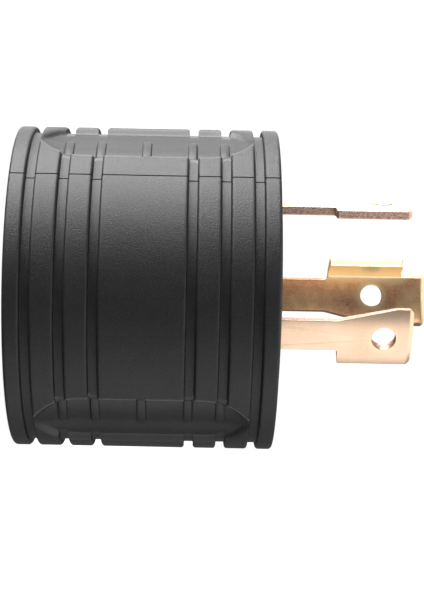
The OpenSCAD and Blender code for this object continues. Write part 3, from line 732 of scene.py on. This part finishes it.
def slotMarks(radii, angles, slots, inner, outer):
    # each grid point's distance from the nearest slot in millimetres, and the cells inside a slot
    r, a = np.meshgrid(radii, angles, indexing="ij")
    away = np.full(r.shape, np.inf)
    inSlot = np.zeros((len(radii) - 1, len(angles)), bool)
    cellR = (radii[1:] + radii[:-1])[:, None] / 2
    cellA = (angles + wrapDegrees(np.roll(angles, -1) - angles) / 2)[None, :]
    for low, high in slots:
        middle, half = (low + high) / 2, (high - low) / 2
        beside = np.maximum(np.abs(wrapDegrees(a - middle)) - half, 0) * np.radians(1) * r
        off = np.maximum(np.maximum(inner - r, r - outer), 0)
        away = np.minimum(away, np.hypot(beside, off))
        inSlot |= (cellR > inner) & (cellR < outer) & (np.abs(wrapDegrees(cellA - middle)) < half)
    return away, inSlot


def slotWalls(inSlot, shift):
    # walls that join the face to the underside, `shift` points further on, along every edge between
    # a kept and a dropped cell
    walls = []
    wide = inSlot.shape[1]
    padded = np.pad(inSlot, ((1, 1), (0, 0)))
    for i, j in zip(*np.nonzero(padded[1:] != padded[:-1])):
        p, q = i * wide + j, i * wide + (j + 1) % wide
        walls.append([p, q, q + shift, p + shift] if padded[i + 1, j] else [q, p, p + shift, q + shift])
    for i, j in zip(*np.nonzero(inSlot != np.roll(inSlot, 1, 1))):
        p, q = i * wide + j, (i + 1) * wide + j
        walls.append([q, p, p + shift, q + shift] if inSlot[i, j] else [p, q, q + shift, p + shift])
    return walls


def makePlugFace():
    # a polar grid over the face with the cells of the three curved slots left out; its height is the
    # face, a raised ring, a shallow dish in the middle, and an eased edge round every slot
    outer = blades["outerRadius"] + plug["slotClear"]
    inner = blades["outerRadius"] - blades["thickness"] - plug["slotClear"]
    extra = math.degrees(plug["slotClear"] / inner)
    slots = [(b["neck"][0] - extra, b["neck"][1] + extra) for b in bladeSet.values()]
    radii, angles = plugFaceGrid(slots, inner, outer)
    wide, deep = len(angles), len(radii)
    away, inSlot = slotMarks(radii, angles, slots, inner, outer)
    r = np.repeat(radii[:, None], wide, 1)
    ring = 1 - smooth((np.abs(r - plug["ringAt"]) - plug["ringHalf"]) / plug["ringSlope"])
    dish = 1 - smooth((r - plug["dishRadius"] + plug["dishRound"]) / plug["dishRound"])
    eased = 1 - np.sqrt(1 - (1 - np.clip(away / plug["slotRound"], 0, 1)) ** 2)
    face = plugFaceTop - plug["ringHeight"]
    z = face + plug["ringHeight"] * ring - plug["dishDepth"] * dish - plug["slotRound"] * eased
    # the skirt: a rounded outer edge, a wall down to the flange, and the flange's own step and wall
    edge, flange = plug["edgeRound"], plug["flangeRadius"]
    turn = np.radians([30, 60, 90])
    skirtR = [*(plug["radius"] - edge + edge * np.sin(turn)), plug["radius"], flange, flange]
    skirtZ = [*(face - edge + edge * np.cos(turn)), plug["flangeTop"], plug["flangeTop"], plug["low"]]
    r = np.concatenate([r, np.repeat(np.array(skirtR)[:, None], wide, 1)])
    z = np.concatenate([z, np.repeat(np.array(skirtZ)[:, None], wide, 1)])
    top = polar(r, np.broadcast_to(angles, r.shape), z).reshape(-1, 3)
    # the underside repeats the face's own grid, flat, so the slots run right through
    below = polar(r[:deep], np.broadcast_to(angles, (deep, wide)), np.full((deep, wide), plug["low"]))
    keepTop = np.ones((len(r) - 1, wide), bool)
    keepTop[:deep - 1] = ~inSlot
    shift = len(top)
    topFaces = gridFaces(len(r), wide, False, True)
    lowFaces = gridFaces(deep, wide, False, True)[:, ::-1] + shift
    faces = topFaces[keepTop.ravel()].tolist() + lowFaces[~inSlot.ravel()].tolist()
    faces += slotWalls(inSlot, shift)
    # centre caps, and the ring that closes the underside out to the flange
    faces.append(list(range(wide)))
    faces.append([shift + j for j in reversed(range(wide))])
    last, rim = (len(r) - 1) * wide, shift + (deep - 1) * wide
    faces += [[last + j, last + (j + 1) % wide, rim + (j + 1) % wide, rim + j] for j in range(wide)]
    return makePiece("plugFace", np.concatenate([top, below.reshape(-1, 3)]), faces, 35)


place(makePlugFace(), ["plug_face"], materials["face_plastic"])
print("plug face made")


def easedCopy(name, node, width):
    # the CAD node's own shape, its triangles merged, with every sharp edge rounded
    mesh = frame["nodes"][node].data.copy()
    mesh.name = name
    work = bmesh.new()
    work.from_mesh(mesh)
    bmesh.ops.remove_doubles(work, verts=work.verts, dist=1e-6)
    bmesh.ops.dissolve_limit(work, angle_limit=math.radians(1), verts=work.verts, edges=work.edges)
    work.to_mesh(mesh)
    work.free()
    piece = bpy.data.objects.new(name, mesh)
    bpy.context.scene.collection.objects.link(piece)
    bevel = piece.modifiers.new("easedEdges", "BEVEL")
    bevel.width = width * mm
    bevel.segments = 2
    bevel.limit_method = "ANGLE"
    bevel.angle_limit = math.radians(40)
    mesh.shade_smooth()
    mesh.set_sharp_from_angle(angle=math.radians(35))
    return piece


# pieces that keep the CAD shape: node, width of the eased edges and slot
eased = {
    "socketFace": ("socket_face", 0.22, "face_plastic"),
    "coreScrews": ("core_screws", 0.12, "screw_steel"),
    "contactLine": ("contact_line", 0.10, "contact_bronze"),
    "contactNeutral": ("contact_neutral", 0.10, "contact_bronze"),
    "contactGround": ("contact_ground", 0.10, "contact_bronze"),
}
for name, (node, width, slot) in eased.items():
    place(easedCopy(name, node, width), [node], materials[slot])

replaced = {"housing_front", "housing_rear", "plug_face", *(b["node"] for b in bladeSet.values())}
replaced |= {node for node, _, _ in eased.values()}
for part in frame["record"]["subparts"]:
    if part["node"] not in replaced:
        slots = frame["nodes"][part["node"]].data.materials
        slots.clear()
        slots.append(materials[part["material_slot"]])
print("inner pieces finished")


# the camera stands in this direction from the axis
viewAngle = -139.1
toCamera = Vector((math.cos(math.radians(viewAngle)), math.sin(math.radians(viewAngle)), 0))
pictureUp = Vector((toCamera.y, -toCamera.x, 0))
axis = Vector((0, 0, 1))

camera = {"distance": 252.16, "height": 27.89, "roll": 1.123, "pitch": 0.426, "lens": 92.03, "shift": 0.0366}


def makeCamera():
    # looks at the axis from the side, with the plug axis lying across the picture
    data = bpy.data.cameras.new("camera")
    data.lens, data.sensor_width, data.shift_x = camera["lens"], 36, camera["shift"]
    data.clip_start, data.clip_end = 0.01, 10
    body = bpy.data.objects.new("camera", data)
    bpy.context.scene.collection.objects.link(body)
    roll, pitch = math.radians(camera["roll"]), math.radians(camera["pitch"])
    right = axis * math.cos(roll) + pictureUp * math.sin(roll)
    up = pictureUp * math.cos(roll) - axis * math.sin(roll)
    back = toCamera * math.cos(pitch) + up * math.sin(pitch)
    up = up * math.cos(pitch) - toCamera * math.sin(pitch)
    body.matrix_world = Matrix((right, up, back)).transposed().to_4x4()
    body.location = (toCamera * camera["distance"] + axis * camera["height"]) * mm
    bpy.context.scene.camera = body


def makeLight(name, parts, distance, size, brightness):
    # a soft square card at a distance from the middle of the body, facing it; its power is its
    # brightness times pi times its area
    towards = toCamera * parts[0] + pictureUp * parts[1] + axis * parts[2]
    data = bpy.data.lights.new(name, "AREA")
    data.shape, data.size, data.energy = "SQUARE", size, brightness * math.pi * size ** 2
    lamp = bpy.data.objects.new(name, data)
    bpy.context.scene.collection.objects.link(lamp)
    lamp.location = Vector((0, 0, 0.03)) + towards.normalized() * distance
    lamp.rotation_mode = "QUATERNION"
    lamp.rotation_quaternion = towards.to_track_quat("Z", "Y")
    lamp.visible_camera = False


def makeStage():
    # a pale floor under the socket end, seen only by the camera and clear from below; it fades to
    # full white away from the object
    side, under = 3.0, -0.00005
    corners = [(x * side, y * side, under) for x, y in ((-1, -1), (1, -1), (1, 1), (-1, 1))]
    mesh = bpy.data.meshes.new("floor")
    mesh.from_pydata(corners, [], [(0, 1, 2, 3)])
    floor = bpy.data.objects.new("floor", mesh)
    bpy.context.scene.collection.objects.link(floor)
    floor.visible_diffuse = floor.visible_glossy = floor.visible_shadow = False
    material = bpy.data.materials.new("floorPaper")
    material.use_nodes = True
    nodes, links = material.node_tree.nodes, material.node_tree.links
    shader = nodes["Principled BSDF"]
    shader.inputs["Base Color"].default_value = (0.35, 0.35, 0.35, 1)
    shader.inputs["Roughness"].default_value = 1.0
    shader.inputs["Specular IOR Level"].default_value = 0.0
    shader.inputs["Emission Color"].default_value = (1, 1, 1, 1)
    distance = nodes.new("ShaderNodeVectorMath")
    distance.operation = "LENGTH"
    links.new(nodes.new("ShaderNodeTexCoord").outputs["Object"], distance.inputs[0])
    glow = mathNode(nodes, links, "MULTIPLY_ADD", distance.outputs["Value"], 3.0, 0.75)
    links.new(mathNode(nodes, links, "MINIMUM", glow, 1.05), shader.inputs["Emission Strength"])
    clear, mix = nodes.new("ShaderNodeBsdfTransparent"), nodes.new("ShaderNodeMixShader")
    links.new(nodes.new("ShaderNodeNewGeometry").outputs["Backfacing"], mix.inputs["Fac"])
    links.new(shader.outputs["BSDF"], mix.inputs[1])
    links.new(clear.outputs["BSDF"], mix.inputs[2])
    links.new(mix.outputs["Shader"], nodes["Material Output"].inputs["Surface"])
    mesh.materials.append(material)


def makeWorld():
    # white where the camera looks past the object, dimmer as light
    world = bpy.data.worlds.new("studio")
    bpy.context.scene.world = world
    world.use_nodes = True
    nodes, links = world.node_tree.nodes, world.node_tree.links
    backdrop = nodes["Background"]
    backdrop.inputs["Color"].default_value = (1, 1, 1, 1)
    path = nodes.new("ShaderNodeLightPath")
    room = studio["room"]
    strength = mathNode(nodes, links, "MULTIPLY_ADD", path.outputs["Is Camera Ray"], 1.05 - room, room)
    links.new(strength, backdrop.inputs["Strength"])


studio = {
    "room": 0.205,
    # towards the camera, up in the picture and along the axis; distance and size in metres; brightness
    "lights": {
        "keyLight": ((0.11, 1.0, -0.20), 0.7, 0.80, 10.3),
        "lowCard": ((0.36, -1.0, 0.10), 0.6, 0.74, 1.08),
        "plugCard": ((0.15, -0.2, 1.0), 0.8, 1.4, 1.1),
        "backCard": ((-0.77, 0.64, 0.0), 0.8, 0.75, 1.5),
    },
}

makeCamera()
makeStage()
makeWorld()
for name, values in studio["lights"].items():
    makeLight(name, *values)
bpy.context.scene.view_settings.view_transform = "Standard"
print("stage, lights and camera made")
